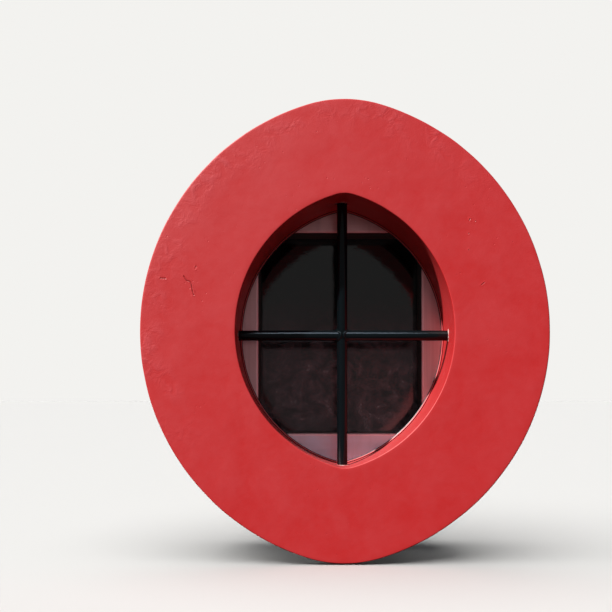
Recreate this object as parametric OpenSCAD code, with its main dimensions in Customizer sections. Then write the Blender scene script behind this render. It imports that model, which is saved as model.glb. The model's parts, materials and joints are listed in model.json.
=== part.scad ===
// Fixed porthole window: a cast oval surround with a deep reveal, a grille of round
// bars and a glazed timber frame behind it.
// The front faces -Y, Z is up, and the origin is the middle of the opening on the wall's face.

/* [Opening] */
// Width of the oval opening
opening_w = 450; // [380:5:550]
// Height of the oval opening
opening_h = 564; // [520:2:700]
// Radius of the softened tips at top and bottom
tip_r = 60; // [45:1:80]
// Depth of the reveal, from the band's face to its back edge
reveal_d = 180; // [150:5:260]
// How far the reveal opens out towards its back edge, on each side
reveal_flare = 6; // [0:0.5:6]

/* [Surround] */
// Width of the band round the opening
band_w = 198; // [150:2:260]
// How far the band stands off the wall
band_t = 22; // [20:1:40]
// Radius of the band's rounded front edges
arris_r = 4; // [2:0.5:9]
// Wall of the sleeve that forms the reveal
sleeve_t = 36; // [32:1:60]
// Thickness of the back plate
plate_t = 30; // [28:1:50]
// Back plate's margin round the frame
plate_margin = 10; // [4:1:30]
// Corner radius of the back plate
plate_corner_r = 30; // [5:1:50]

/* [Grille] */
// Diameter of the round bars
bar_d = 23; // [14:0.5:26]
// From the band's face to the bars' centres
bar_depth = 105; // [60:1:110]
// How far the upright is set to the left
upright_shift = 2; // [0:1:10]
// How far the cross bar is set low
cross_drop = 4; // [0:1:10]
// How far each bar goes into the reveal
bar_embed = 22; // [10:1:24]
// Mortar round and behind each bar end
mortar_t = 4; // [2:0.5:5]
// How far the mortar stands out of the socket
mortar_proud = 3; // [0.5:0.5:5]
// Leg of the weld beads at the crossing
weld_leg = 3; // [2:0.5:5]

/* [Frame] */
// Frame that shows inside the opening at each side
side_show = 39; // [20:1:60]
// Frame that shows inside the opening at the top and bottom
end_show = 53; // [30:1:80]
// Face width of the frame members
member_w = 85; // [70:1:110]
// Depth of the stop in front of the glass
stop_d = 82; // [40:1:110]
// How far the frame is set to the left
frame_shift = 4; // [0:1:8]
// How far the frame is set high
frame_lift = 8; // [0:1:12]
// Chamfer on the frame's front inner edges
frame_chamfer = 3; // [1:0.5:6]
// Foam tape between the back plate and the frame
seal_t = 5; // [4:0.5:10]
// Width of the foam tape
seal_w = 10; // [6:1:10]
// Diameter of the corner pegs
dowel_d = 10; // [6:1:14]
// Length of the corner pegs
dowel_l = 70; // [40:2:76]

/* [Glazing] */
// Thickness of the pane
glass_t = 6; // [4:0.5:10]
// Gap round the pane's edge
glass_gap = 4; // [3:0.5:6]
// Thickness of the glazing tape
tape_t = 2; // [1:0.5:4]
// Height of the rebate that the pane sits in
rebate_h = 15; // [12:1:20]
// Depth of the glazing beads
bead_d = 18; // [10:1:25]
// Round on the beads' inner edge
bead_round = 6; // [2:0.5:9]
// Diameter of the bead pins
pin_d = 2; // [1.5:0.25:3]
// How far a pin goes into the frame
pin_embed = 18; // [10:1:25]
// Length of the packers round the pane
packer_l = 40; // [20:2:80]

/* [Fixings] */
// Diameter of the frame screws
screw_d = 7.5; // [5:0.5:8]
// From the frame's outer edge to the screws
screw_inset = 35; // [24:1:36]
// From the pane's corner to the screws in the jambs
jamb_screw_step = 49; // [44:1:60]
// From the pane's corner to the screws in the head and rail
rail_screw_step = 66; // [40:1:70]
// Outer diameter of the plugs in the back plate
plug_d = 10; // [9:0.5:12]
// Length of the plugs in the back plate
plug_l = 26; // [16:1:26]
// Diameter of the caps' bores
cap_d = 16; // [15:0.5:20]
// Diameter of the wall studs
stud_d = 10; // [8:1:11]
// Diameter of the studs' thicker roots in their sockets
stud_root_d = 12; // [12:0.5:14]
// How far the studs stand out behind the band
stud_reach = 90; // [60:5:110]
// Outer diameter of the studs' cast-in sockets
socket_d = 18; // [16:1:24]
// Depth of the studs' cast-in sockets
socket_l = 16; // [12:1:17]
// From the band's outer edge to the studs
stud_inset = 33; // [24:1:40]
// Angle of the studs round the side arcs
stud_angle = 30; // [25:1:35]

/* [Hidden] */
$fn = 144;

// the outline: two side arcs whose centres lie side_c across the middle, closed by the tip
// circles; tip_bite keeps the arcs from only touching, so they cross cleanly
tip_bite = 0.08;
tip_inset = 0.12;
tip_lap = 1;
tip_z = opening_h / 2 - tip_r;
side_r = (pow(opening_w, 2) / 4 + pow(tip_z, 2) - pow(tip_r, 2)) / (opening_w - 2 * tip_r) - tip_bite;
side_c = side_r - opening_w / 2;
join_angle = atan2(tip_z, side_c);

// depths along Y; the wall's face is at zero
reveal_back = reveal_d - band_t;
plate_front = reveal_back - plate_t;
bar_y = bar_depth - band_t;
bar_flare = reveal_flare * (bar_depth - arris_r) / (reveal_d - arris_r - plate_t / 2);
frame_front = reveal_back + seal_t;
stop_back = frame_front + stop_d;
glass_front = stop_back + tape_t;
glass_back = glass_front + glass_t;
bead_front = glass_back + tape_t;
frame_back = bead_front + bead_d;

// surround
arris_steps = 5;

// frame
light_w = opening_w - 2 * side_show;
light_h = opening_h - 2 * end_show;
rebate_across = light_w + 2 * rebate_h;
rebate_up = light_h + 2 * rebate_h;
frame_w = light_w + 2 * member_w;
frame_h = light_h + 2 * member_w;
glass_w = rebate_across - 2 * glass_gap;
glass_h = rebate_up - 2 * glass_gap;
plate_w = frame_w + 2 * (frame_shift + plate_margin);
plate_h = frame_h + 2 * (frame_lift + plate_margin);
seal_margin = 3;
tape_inset = 1;
tape_w = 9;

// trim round the reveal's back edge, measured from that edge
trim_web_in = 1;
trim_web_out = 4;
trim_nose = 3.5;
trim_nose_t = 2;

// grille
bar_r = bar_d / 2;
socket_r = bar_r + mortar_t;
mortar_end = 2;
cope_clearance = 3;
weld_length = bar_r + 6;
weld_start = 7;

// fixings
jamb_x = frame_w / 2 - screw_inset;
jamb_z = light_h / 2 - jamb_screw_step;
rail_x = light_w / 2 - rail_screw_step;
rail_z = frame_h / 2 - screw_inset;
screw_clearance = 0.5;
screw_short = 4;
head_d = 14;
head_l = 4;
cap_depth = 8;
cap_rim = 2;
cap_rim_t = 1.5;
cap_gap = 1;
drive_d = 6;
drive_depth = 3;
peg_step = 21;
peg_y = frame_front + stop_d / 2;
pin_y = 7;
stud_short = 2;

// where things repeat
module at_frame() {
    translate([-frame_shift, 0, frame_lift]) children();
}

module at_jamb_screws(side) {
    for (end = [-1, 1])
        translate([side * jamb_x, 0, end * jamb_z]) children();
}

module at_rail_screws(end) {
    for (side = [-1, 1])
        translate([side * rail_x, 0, end * rail_z]) children();
}

module at_all_screws() {
    at_frame()
        for (way = [-1, 1]) {
            at_jamb_screws(way) children();
            at_rail_screws(way) children();
        }
}

module at_pegs(side, end) {
    for (step = [-peg_step, peg_step])
        translate([side * (light_w + member_w) / 2, peg_y + step, end * light_h / 2]) children();
}

// bead places: 0 bottom, 1 top, 2 left, 3 right; children grow inwards along +Z
bead_turn = [0, 180, 90, -90];
bead_reach = [rebate_up / 2, rebate_up / 2, rebate_across / 2, rebate_across / 2];
bead_length = [rebate_across, rebate_across, rebate_up, rebate_up];

module at_bead(place) {
    at_frame()
        rotate([0, bead_turn[place], 0])
            translate([0, 0, -bead_reach[place]]) children();
}

module at_bead_pins(place) {
    at_bead(place)
        for (side = [-1, 1])
            translate([side * bead_length[place] / 4, bead_front + pin_y, 0]) children();
}

module at_studs() {
    for (side = [-1, 1], end = [-1, 1])
        translate([
            side * ((side_r + band_w - stud_inset) * cos(stud_angle) - side_c),
            0,
            end * (side_r + band_w - stud_inset) * sin(stud_angle)
        ]) children();
}

// bar ends: the cross bar's two, then the upright's two
module at_bar_ends() {
    for (side = [-1, 1])
        translate([side * (opening_w / 2 + bar_flare), bar_y, -cross_drop])
            rotate([0, side * 90, 0]) children();
    for (end = [0, 180])
        translate([-upright_shift, bar_y, cos(end) * (opening_h / 2 + bar_flare)])
            rotate([end, 0, 0]) children();
}

// flat outlines stand in the X-Z plane and run from one depth to another
module slab(front, back) {
    translate([0, back, 0]) rotate([90, 0, 0]) linear_extrude(back - front) children();
}

// a round rod along Y
module rod(front, back, radius) {
    slab(front, back) circle(radius);
}

// the part of the plane that a tip's circle closes, above (end 1) or below (end -1)
module tip_sector(end) {
    reach = 2 * opening_h;
    polygon([
        [0, end * tip_z],
        [reach * cos(join_angle), end * (tip_z + reach * sin(join_angle))],
        [-reach * cos(join_angle), end * (tip_z + reach * sin(join_angle))]
    ]);
}

// the opening's outline, grown by out
module oval(out) {
    difference() {
        intersection() {
            translate([-side_c, 0]) circle(side_r + out);
            translate([side_c, 0]) circle(side_r + out);
        }
        for (end = [-1, 1])
            difference() {
                tip_sector(end);
                translate([0, end * tip_z]) circle(tip_r + out);
            }
    }
}

// a flat ring that follows the opening
module oval_ring(inner, outer) {
    difference() {
        oval(outer);
        oval(inner);
    }
}

// carries a section round the opening: its x is the distance out from the opening, its y
// runs towards the front; the second child goes round the tips and laps into the sides
module oval_sweep() {
    rotate([90, 0, 0])
        for (turn = [0, 180])
            rotate([0, 0, turn]) {
                translate([-side_c, 0, 0]) rotate([0, 0, -join_angle])
                    rotate_extrude(angle = 2 * join_angle)
                        translate([side_r, 0]) children(0);
                translate([0, tip_z, 0]) rotate([0, 0, join_angle - tip_lap])
                    rotate_extrude(angle = 180 - 2 * join_angle + 2 * tip_lap)
                        translate([tip_r, 0]) children(1);
            }
}

module rounded_sheet(width, height, radius) {
    square([width, height - 2 * radius], center = true);
    square([width - 2 * radius, height], center = true);
    for (side = [-1, 1], end = [-1, 1])
        translate([side * (width / 2 - radius), end * (height / 2 - radius)]) circle(radius);
}

module ring_sheet(width, height, wall) {
    difference() {
        square([width, height], center = true);
        square([width - 2 * wall, height - 2 * wall], center = true);
    }
}

// surround: the band with its rounded front edges, and the sleeve that runs back from it
function rounded_edge(corner_x, way) = [
    for (step = [0:arris_steps])
        let (turn = way > 0 ? 90 * step / arris_steps : 90 - 90 * step / arris_steps)
            [corner_x + way * arris_r * (1 - cos(turn)), band_t - arris_r + arris_r * sin(turn)]
];

module band_section(inset) {
    polygon(concat(
        [
            [sleeve_t - inset, 0],
            [sleeve_t - inset, plate_t / 2 - reveal_back],
            [reveal_flare + inset, plate_t / 2 - reveal_back]
        ],
        rounded_edge(inset, 1),
        rounded_edge(band_w - inset, -1),
        [[band_w - inset, 0]]
    ));
}

module surround() color([0.74, 0.15, 0.16]) {
    difference() {
        union() {
            oval_sweep() {
                band_section(0);
                band_section(tip_inset);
            }
            slab(plate_front, reveal_back)
                difference() {
                    rounded_sheet(plate_w, plate_h, plate_corner_r);
                    oval(reveal_flare + 2 * tip_inset);
                }
        }
        at_bar_ends() translate([0, 0, -socket_r]) cylinder(r = socket_r, h = socket_r + bar_embed + mortar_end);
        at_studs() rod(-socket_l, band_t, socket_d / 2);
        at_all_screws() rod(reveal_back - plug_l, reveal_back + band_t, plug_d / 2);
    }
}

module reveal_trim() color([0.80, 0.22, 0.24]) {
    slab(reveal_back, frame_front)
        oval_ring(reveal_flare + trim_web_in, reveal_flare + trim_web_out);
    slab(frame_front - trim_nose_t, frame_front)
        oval_ring(reveal_flare - trim_nose, reveal_flare + trim_web_in + 1);
}

// grille
module upright_rod(radius) {
    translate([-upright_shift, bar_y, 0])
        cylinder(r = radius, h = opening_h + 2 * (bar_flare + bar_embed), center = true);
}

module cross_rod(side, radius, start, reach) {
    translate([-upright_shift + side * start, bar_y, -cross_drop])
        rotate([0, side * 90, 0]) cylinder(r = radius, h = reach - start);
}

// from the upright's centre to the end of a half of the cross bar
function half_reach(side) = opening_w / 2 + bar_flare + bar_embed + side * upright_shift;

module half_bar(side) {
    difference() {
        cross_rod(side, bar_r, cope_clearance, half_reach(side));
        upright_rod(bar_r);
    }
}

module bar_vertical() color([0.03, 0.05, 0.06]) upright_rod(bar_r);
module bar_left() color([0.03, 0.05, 0.06]) half_bar(-1);
module bar_right() color([0.03, 0.05, 0.06]) half_bar(1);

module cross_weld() color([0.05, 0.07, 0.08])
    for (side = [-1, 1])
        difference() {
            translate([side * weld_start - upright_shift, bar_y, -cross_drop])
                rotate([0, side * 90, 0])
                    cylinder(r1 = bar_r + weld_leg, r2 = bar_r + weld_leg / 10, h = weld_length - weld_start);
            upright_rod(bar_r);
            cross_rod(side, bar_r, 0, half_reach(side));
        }

module bar_grout() color([0.72, 0.60, 0.56])
    at_bar_ends()
        difference() {
            translate([0, 0, -mortar_proud])
                cylinder(r = socket_r, h = mortar_proud + bar_embed + mortar_end);
            translate([0, 0, -socket_r]) cylinder(r = bar_r, h = socket_r + bar_embed);
        }

// frame
module screw_bore() {
    rod(frame_front - 1, frame_back + 1, (screw_d + screw_clearance) / 2);
    rod(frame_back - cap_depth, frame_back + 1, cap_d / 2);
    screw_head();
}

module screw_head() {
    translate([0, frame_back - cap_depth, 0])
        rotate([90, 0, 0]) cylinder(d1 = head_d, d2 = screw_d, h = head_l);
}

module rebate_cut() {
    slab(stop_back, frame_back + 1) square([rebate_across, rebate_up], center = true);
}

module peg_bores(side, end) {
    at_pegs(side, end) cylinder(d = dowel_d, h = dowel_l, center = true);
}

// the head (end 1) or the bottom rail (end -1)
module rail(end) {
    at_frame()
        difference() {
            slab(frame_front, frame_back)
                translate([0, end * (light_h + member_w) / 2]) square([frame_w, member_w], center = true);
            rebate_cut();
            translate([0, frame_front, end * light_h / 2])
                rotate([45, 0, 0]) cube([light_w, frame_chamfer * sqrt(2), frame_chamfer * sqrt(2)], center = true);
            at_rail_screws(end) screw_bore();
            for (side = [-1, 1])
                peg_bores(side, end);
        }
}

module jamb(side) {
    at_frame()
        difference() {
            slab(frame_front, frame_back)
                translate([side * (light_w + member_w) / 2, 0]) square([member_w, light_h], center = true);
            rebate_cut();
            translate([side * light_w / 2, frame_front, 0])
                rotate([0, 0, 45]) cube([frame_chamfer * sqrt(2), frame_chamfer * sqrt(2), light_h], center = true);
            at_jamb_screws(side) screw_bore();
            for (end = [-1, 1])
                peg_bores(side, end);
        }
}

module pin_bore(place) {
    at_bead_pins(place) translate([0, 0, -pin_embed]) cylinder(d = pin_d, h = pin_embed + rebate_h);
}

module frame_head() color([0.78, 0.66, 0.68])
    difference() {
        rail(1);
        pin_bore(1);
    }

module frame_bottom_rail() color([0.78, 0.66, 0.68])
    difference() {
        rail(-1);
        pin_bore(0);
    }

module frame_jamb_left() color([0.78, 0.66, 0.68])
    difference() {
        jamb(-1);
        pin_bore(2);
    }

module frame_jamb_right() color([0.78, 0.66, 0.68])
    difference() {
        jamb(1);
        pin_bore(3);
    }

module corner_dowels() color([0.80, 0.66, 0.46])
    at_frame()
        for (side = [-1, 1], end = [-1, 1])
            peg_bores(side, end);

module frame_seal() color([0.25, 0.25, 0.26])
    at_frame()
        slab(reveal_back, frame_front)
            ring_sheet(frame_w - 2 * seal_margin, frame_h - 2 * seal_margin, seal_w);

module frame_screws() color([0.72, 0.70, 0.60])
    at_all_screws()
        difference() {
            union() {
                rod(reveal_back - plug_l + screw_short, frame_back - cap_depth - head_l, screw_d / 2);
                screw_head();
            }
            slab(frame_back - cap_depth - drive_depth, frame_back) circle(d = drive_d, $fn = 6);
        }

module screw_plugs() color([0.55, 0.56, 0.58])
    at_all_screws()
        difference() {
            rod(reveal_back - plug_l, reveal_back, plug_d / 2);
            rod(reveal_back - plug_l + screw_short, reveal_back + 1, screw_d / 2);
        }

module screw_caps() color([0.80, 0.72, 0.72])
    at_all_screws() {
        rod(frame_back - cap_depth + cap_gap, frame_back, cap_d / 2);
        rod(frame_back, frame_back + cap_rim_t, cap_d / 2 + cap_rim);
    }

// glazing
module glass_pane() color([0.10, 0.12, 0.12, 0.6])
    at_frame() slab(glass_front, glass_back) square([glass_w, glass_h], center = true);

module glazing_tape(front) {
    at_frame()
        slab(front, front + tape_t)
            ring_sheet(light_w + 2 * (tape_inset + tape_w), light_h + 2 * (tape_inset + tape_w), tape_w);
}

module front_glazing_tape() color([0.10, 0.10, 0.10]) glazing_tape(stop_back);
module back_glazing_tape() color([0.10, 0.10, 0.10]) glazing_tape(glass_back);

module packers(places) {
    at_frame()
        for (place = places, side = [-1, 1])
            rotate([0, bead_turn[place], 0])
                translate([side * bead_length[place] / 4, 0, glass_gap / 2 - bead_reach[place]])
                    slab(glass_front, glass_back) square([packer_l, glass_gap], center = true);
}

module setting_blocks() color([0.30, 0.42, 0.55]) packers([0]);
module edge_blocks() color([0.45, 0.52, 0.45]) packers([1, 2, 3]);

module bead_section() {
    square([bead_d, rebate_h - bead_round]);
    square([bead_d - bead_round, rebate_h]);
    translate([bead_d - bead_round, rebate_h - bead_round]) circle(bead_round);
}

module bead(place) color([0.76, 0.68, 0.68]) {
    half = bead_length[place] / 2;
    difference() {
        at_bead(place)
            intersection() {
                translate([0, bead_front, 0])
                    rotate([90, 0, 90]) linear_extrude(2 * half, center = true) bead_section();
                slab(bead_front - 1, frame_back + 1)
                    polygon([[-half, 0], [half, 0], [half - rebate_h, rebate_h], [rebate_h - half, rebate_h]]);
            }
        pin_bore(place);
    }
}

module bead_bottom() bead(0);
module bead_top() bead(1);
module bead_left() bead(2);
module bead_right() bead(3);

module bead_pins() color([0.62, 0.60, 0.56])
    for (place = [0:3])
        pin_bore(place);

// wall fixings
module stud_sockets() color([0.66, 0.67, 0.68])
    at_studs()
        difference() {
            rod(-socket_l, 0, socket_d / 2);
            rod(stud_short - socket_l, 1, stud_root_d / 2);
        }

module anchor_studs() color([0.70, 0.70, 0.66])
    at_studs() {
        rod(stud_short - socket_l, 0, stud_root_d / 2);
        rod(0, stud_reach, stud_d / 2);
    }

surround();
reveal_trim();
bar_vertical();
bar_left();
bar_right();
cross_weld();
bar_grout();
frame_head();
frame_bottom_rail();
frame_jamb_left();
frame_jamb_right();
corner_dowels();
frame_seal();
frame_screws();
screw_plugs();
screw_caps();
glass_pane();
front_glazing_tape();
back_glazing_tape();
setting_blocks();
edge_blocks();
bead_top();
bead_bottom();
bead_left();
bead_right();
bead_pins();
stud_sockets();
anchor_studs();
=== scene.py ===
import json
import math
from itertools import product

import bmesh
import bpy
import numpy as np
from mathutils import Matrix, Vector, noise

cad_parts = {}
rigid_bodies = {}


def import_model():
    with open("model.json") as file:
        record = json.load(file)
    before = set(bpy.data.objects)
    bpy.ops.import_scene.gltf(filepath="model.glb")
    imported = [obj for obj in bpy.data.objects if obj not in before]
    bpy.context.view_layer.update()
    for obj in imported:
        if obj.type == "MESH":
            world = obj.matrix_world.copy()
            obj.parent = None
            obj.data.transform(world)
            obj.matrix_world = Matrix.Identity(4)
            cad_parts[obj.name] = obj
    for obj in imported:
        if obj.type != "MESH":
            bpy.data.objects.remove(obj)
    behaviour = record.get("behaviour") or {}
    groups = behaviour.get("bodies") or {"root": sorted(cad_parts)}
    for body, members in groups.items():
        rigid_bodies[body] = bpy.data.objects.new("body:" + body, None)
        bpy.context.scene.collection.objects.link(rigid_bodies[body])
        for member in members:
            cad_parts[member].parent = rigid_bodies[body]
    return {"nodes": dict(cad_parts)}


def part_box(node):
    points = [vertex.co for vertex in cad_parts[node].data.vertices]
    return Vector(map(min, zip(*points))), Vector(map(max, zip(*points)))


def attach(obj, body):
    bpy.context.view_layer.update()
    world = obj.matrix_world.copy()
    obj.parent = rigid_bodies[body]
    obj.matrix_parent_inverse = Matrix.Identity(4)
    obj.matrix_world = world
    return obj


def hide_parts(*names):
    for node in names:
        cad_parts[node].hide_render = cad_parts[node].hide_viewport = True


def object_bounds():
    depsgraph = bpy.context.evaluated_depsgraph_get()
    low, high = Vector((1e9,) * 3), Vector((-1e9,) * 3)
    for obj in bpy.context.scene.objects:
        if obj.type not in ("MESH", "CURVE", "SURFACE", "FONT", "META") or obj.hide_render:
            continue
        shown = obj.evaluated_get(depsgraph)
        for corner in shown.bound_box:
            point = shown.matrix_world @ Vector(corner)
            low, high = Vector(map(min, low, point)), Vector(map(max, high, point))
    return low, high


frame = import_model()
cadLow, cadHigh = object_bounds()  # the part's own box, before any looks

scene = bpy.context.scene
mm = 0.001  # sizes below are in millimetres unless a note says otherwise
print("frame loaded:", len(frame["nodes"]), "parts")


cameraView = {
    "place": (-0.067, -1.719, -0.1316),  # metres
    "tiltUp": 1.2,  # degrees above level
    "lens": 48.7,
    "shift": (-0.0103, 0.1158),
}


def addCamera():
    data = bpy.data.cameras.new("camera")
    data.lens = cameraView["lens"]
    data.sensor_width = 36
    data.shift_x, data.shift_y = cameraView["shift"]
    data.dof.use_dof = False
    camera = bpy.data.objects.new("camera", data)
    camera.location = cameraView["place"]
    camera.rotation_euler = (math.radians(90 + cameraView["tiltUp"]), 0, 0)
    scene.collection.objects.link(camera)
    scene.camera = camera


addCamera()


def smoothStep(low, high, value):
    share = np.clip((np.asarray(value, float) - low) / (high - low), 0, 1)
    return share * share * (3 - 2 * share)


def bumpy(points, size, seed=0.0):  # smooth noise from -1 to 1 at each point; size is its wavelength
    shift = Vector((seed * 17.3, seed * 5.1, seed * 11.7))
    return np.array([noise.noise(Vector(p) / size + shift) for p in points])


def waves(points, size, seed=0.0):  # the same from 0 to 1
    return 0.5 + 0.5 * bumpy(points, size, seed)


def lengthAlong(line):  # how far each point lies along a line
    return np.concatenate([[0], np.cumsum(np.linalg.norm(np.diff(line, axis=0), axis=1))])


def gridFaces(rows, around, closeRows=False, closeAround=True):
    faces = []
    for row in range(rows if closeRows else rows - 1):
        here, there = row * around, (row + 1) % rows * around
        for i in range(around if closeAround else around - 1):
            j = (i + 1) % around
            faces.append((here + i, here + j, there + j, there + i))
    return faces


def newMesh(name, points, faces):  # points in millimetres
    mesh = bpy.data.meshes.new(name)
    mesh.from_pydata((np.asarray(points, float) * mm).tolist(), [], [list(f) for f in faces])
    mesh.validate()
    tidy = bmesh.new()
    tidy.from_mesh(mesh)
    bmesh.ops.recalc_face_normals(tidy, faces=tidy.faces[:])
    tidy.to_mesh(mesh)
    tidy.free()
    return mesh


def joinedParts(parts):  # several (points, faces) as one
    points, faces, offset = [], [], 0
    for partPoints, partFaces in parts:
        points.append(np.asarray(partPoints, float))
        faces += [tuple(offset + i for i in face) for face in partFaces]
        offset += len(partPoints)
    return np.vstack(points), faces


def addPiece(name, mesh, material, stands, sharpAngle=38, grain=None):
    piece = bpy.data.objects.new(name, mesh)
    scene.collection.objects.link(piece)
    mesh.shade_smooth()
    mesh.set_sharp_from_angle(angle=math.radians(sharpAngle))
    mesh.materials.clear()
    mesh.materials.append(material)
    if grain:
        setGrain(mesh, grain)
    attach(piece, "root")
    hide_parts(*stands)
    return piece


def addJoined(name, parts, finish, node, sharpAngle, grain=None):  # one piece from several parts
    mesh = newMesh(name, *joinedParts(parts))
    addPiece(name, mesh, materials[finish], [node], sharpAngle, grain)


def setGrain(mesh, order):  # stores each point with its length direction first, for brush marks
    turned = pointsOf(mesh)[:, ["xyz".index(axis) for axis in order]] * mm
    layer = mesh.attributes.new("grain", "FLOAT_VECTOR", "POINT")
    layer.data.foreach_set("vector", np.ascontiguousarray(turned, np.float32).ravel())


def pointsOf(mesh):  # in millimetres
    co = np.empty(len(mesh.vertices) * 3, np.float32)
    mesh.vertices.foreach_get("co", co)
    return co.reshape(-1, 3) / mm


def storeValue(mesh, name, values):
    layer = mesh.attributes.new(name, "FLOAT", "POINT")
    layer.data.foreach_set("value", np.ascontiguousarray(values, np.float32))


def finishedMesh(mesh, cutters=(), bevel=0.0, bevelSteps=2):  # cuts, then rounds the edges
    holder = bpy.data.objects.new("holder", mesh)
    scene.collection.objects.link(holder)
    tools = []
    for cutterMesh in cutters:
        tool = bpy.data.objects.new("tool", cutterMesh)
        scene.collection.objects.link(tool)
        tools.append(tool)
        cut = holder.modifiers.new("cut", "BOOLEAN")
        cut.operation, cut.solver, cut.object = "DIFFERENCE", "EXACT", tool
    if bevel:
        rounding = holder.modifiers.new("rounding", "BEVEL")
        rounding.width, rounding.segments = bevel * mm, bevelSteps
        rounding.limit_method, rounding.angle_limit = "ANGLE", math.radians(35)
        rounding.use_clamp_overlap = True
    bpy.context.view_layer.update()
    evaluated = holder.evaluated_get(bpy.context.evaluated_depsgraph_get())
    result = bpy.data.meshes.new_from_object(evaluated)
    result.name = mesh.name
    for tool in tools:
        bpy.data.objects.remove(tool)
    bpy.data.objects.remove(holder)
    return result


def rodPoints(low, high, radius, steps=48):  # a closed rod from one end point to the other
    low, high = Vector(low), Vector(high)
    side = (high - low).orthogonal().normalized()
    over = (high - low).normalized().cross(side)
    ring = [side * math.cos(t) + over * math.sin(t) for t in np.arange(steps) * 2 * math.pi / steps]
    points = [low + r * radius for r in ring] + [high + r * radius for r in ring]
    faces = gridFaces(2, steps) + [tuple(range(steps))[::-1], tuple(range(steps, 2 * steps))]
    return [tuple(p) for p in points], faces


def lathed(profile, place, axis, steps=48, wobble=None):  # turns (along, radius) points; radius 0 closes an end
    axis = Vector(axis).normalized()
    side = axis.orthogonal().normalized()
    over = axis.cross(side)
    rows = [spot for spot in profile if spot[1] > 0]
    points = []
    for row, (along, radius) in enumerate(rows):
        for i in range(steps):
            turn = 2 * math.pi * i / steps
            way = side * math.cos(turn) + over * math.sin(turn)
            moveAlong, moveOut = wobble(along, radius, turn) if wobble else (0, 0)
            points.append(tuple(Vector(place) + axis * (along + moveAlong) + way * (radius + moveOut)))
    poles = [spot for spot in (profile[0], profile[-1]) if spot[1] == 0]
    faces = gridFaces(len(rows), steps, closeRows=not poles)
    for spot, start in zip(poles, (0, (len(rows) - 1) * steps)):
        points.append(tuple(Vector(place) + axis * spot[0]))
        faces += [(start + i, start + (i + 1) % steps, len(points) - 1) for i in range(steps)]
    return points, faces


def boxOf(node):  # a part's corners in millimetres
    low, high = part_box(node)
    return np.array(low) / mm, np.array(high) / mm


glassLow, glassHigh = boxOf("glass_pane")
frameMiddle = (glassLow + glassHigh) / 2
lightSize = (372, 458)  # the clear opening inside the frame, across and up


# shader groups shared by the materials

def fillInputs(tree, node, values):  # links a socket and stores a plain value
    for name, value in values.items():
        if isinstance(value, bpy.types.NodeSocket):
            tree.links.new(value, node.inputs[name])
        else:
            node.inputs[name].default_value = value


def newNode(tree, kind, values=None, **settings):
    made = tree.nodes.new(kind)
    for name, value in settings.items():
        setattr(made, name, value)
    fillInputs(tree, made, values or {})
    return made


def newGroup(name, numbers, outputs):  # every group takes a place, then numbers, and gives numbers
    tree = bpy.data.node_groups.new(name, "ShaderNodeTree")
    tree.interface.new_socket("Vector", in_out="INPUT", socket_type="NodeSocketVector")
    for socketName, value in numbers.items():
        tree.interface.new_socket(socketName, in_out="INPUT", socket_type="NodeSocketFloat").default_value = value
    for socketName in outputs:
        tree.interface.new_socket(socketName, in_out="OUTPUT", socket_type="NodeSocketFloat")
    return tree, tree.nodes.new("NodeGroupInput").outputs, tree.nodes.new("NodeGroupOutput")


def mathNode(tree, operation, first, second=0.5, clamp=False):
    return newNode(tree, "ShaderNodeMath", {0: first, 1: second}, operation=operation, use_clamp=clamp).outputs[0]


def times(tree, first, second, clamp=False):
    return mathNode(tree, "MULTIPLY", first, second, clamp)


def plus(tree, first, second, clamp=False):
    return mathNode(tree, "ADD", first, second, clamp)


def stretched(tree, place, factors):
    return newNode(tree, "ShaderNodeVectorMath", {0: place, 1: factors}, operation="MULTIPLY").outputs[0]


def partsOf(tree, vector):
    return newNode(tree, "ShaderNodeSeparateXYZ", {0: vector}).outputs


def noiseNode(tree, vector, scale, detail=4, roughness=0.55, distortion=0.0):
    values = {"Vector": vector, "Scale": scale, "Detail": detail, "Roughness": roughness, "Distortion": distortion}
    return newNode(tree, "ShaderNodeTexNoise", values).outputs["Fac"]


def rangeNode(tree, value, fromLow, fromHigh, toLow=0.0, toHigh=1.0):
    values = {"Value": value, "From Min": fromLow, "From Max": fromHigh, "To Min": toLow, "To Max": toHigh}
    return newNode(tree, "ShaderNodeMapRange", values).outputs["Result"]


def mixNode(tree, share, first, second):  # of two colours
    made = newNode(tree, "ShaderNodeMix", data_type="RGBA")
    fillInputs(tree, made, {0: share, 6: first, 7: second})
    return made.outputs[2]


def rgb(red, green, blue):
    return (red, green, blue, 1.0)


def trowelGroup():  # waves left by a trowel, fine sand and a few pits
    numbers = {"Scale": 12.0, "Waves": 1.0, "Sand": 0.3, "Pits": 0.3}
    tree, taken, given = newGroup("trowelRelief", numbers, ("Height", "Tone"))
    place, scale = taken["Vector"], taken["Scale"]
    wide = noiseNode(tree, place, scale, 3, 0.5, 0.6)
    middle = noiseNode(tree, place, times(tree, scale, 5.5), 4, 0.6, 0.3)
    fine = noiseNode(tree, place, times(tree, scale, 60.0), 3, 0.6)
    cells = newNode(tree, "ShaderNodeTexVoronoi", {"Vector": place, "Scale": times(tree, scale, 9.0)})
    pit = rangeNode(tree, cells.outputs["Distance"], 0.0, 0.16, -1.0, 0.0)
    sparse = rangeNode(tree, noiseNode(tree, place, times(tree, scale, 1.7), 2), 0.55, 0.65)
    waves = times(tree, plus(tree, wide, times(tree, middle, 0.35)), taken["Waves"])
    sand = times(tree, fine, taken["Sand"])
    pits = times(tree, times(tree, pit, sparse), taken["Pits"])
    tone = rangeNode(tree, plus(tree, wide, times(tree, middle, 0.6)), 0.5, 1.1)
    fillInputs(tree, given, {"Height": plus(tree, plus(tree, waves, sand), pits), "Tone": tone})
    return tree


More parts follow.
